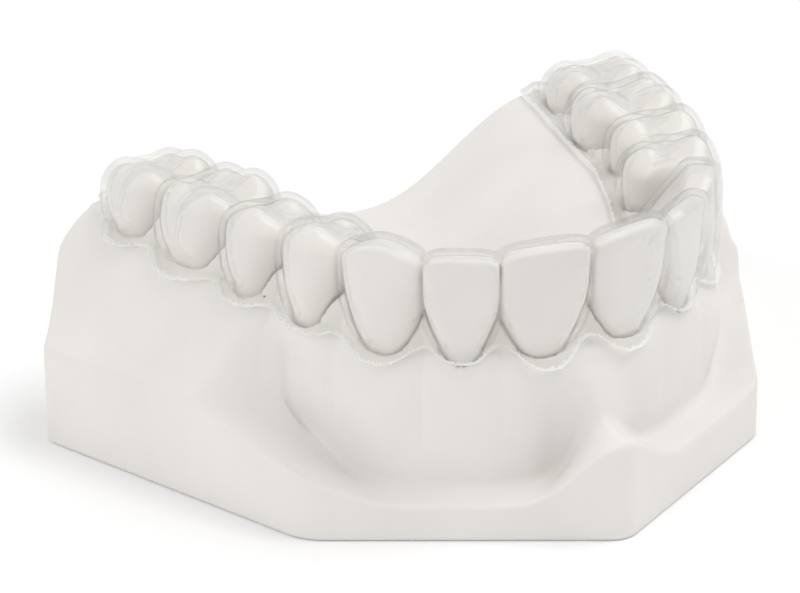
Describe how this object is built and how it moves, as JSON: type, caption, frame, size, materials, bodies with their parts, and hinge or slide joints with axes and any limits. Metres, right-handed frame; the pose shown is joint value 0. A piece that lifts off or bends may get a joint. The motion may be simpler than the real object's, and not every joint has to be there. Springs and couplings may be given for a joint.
{
  "type": "typodont model",
  "caption": "White upper dental arch model on a trimmed flat base, with separate pegged teeth held by screws and a clear thermoformed retainer that lifts off.",
  "frame": {"origin": "middle of the flat underside of the base", "axes": "+Z from the underside towards the biting edges, -Y towards the incisors, +X towards the wearer's right side"},
  "size_m": [0.0772, 0.0526, 0.0295],
  "materials": {
    "stone": "matte",
    "crown": "matte",
    "screw_steel": "machined",
    "clear_sheet": "clear gloss"
  },
  "bodies": {
    "model": {"jaw_base": "stone", "retention_screws": "screw_steel", "left_central_incisor": "crown", "left_lateral_incisor": "crown", "left_canine": "crown", "left_first_premolar": "crown", "left_second_premolar": "crown", "left_first_molar": "crown", "left_second_molar": "crown", "right_central_incisor": "crown", "right_lateral_incisor": "crown", "right_canine": "crown", "right_first_premolar": "crown", "right_second_premolar": "crown", "right_first_molar": "crown", "right_second_molar": "crown"},
    "retainer_body": {"retainer": "clear_sheet"}
  },
  "joints": [
    {"name": "retainer_lift", "type": "slide", "parent": "model", "child": "retainer_body", "axis": [0, 0, 1], "range_m": [0, 0.025]}
  ]
}
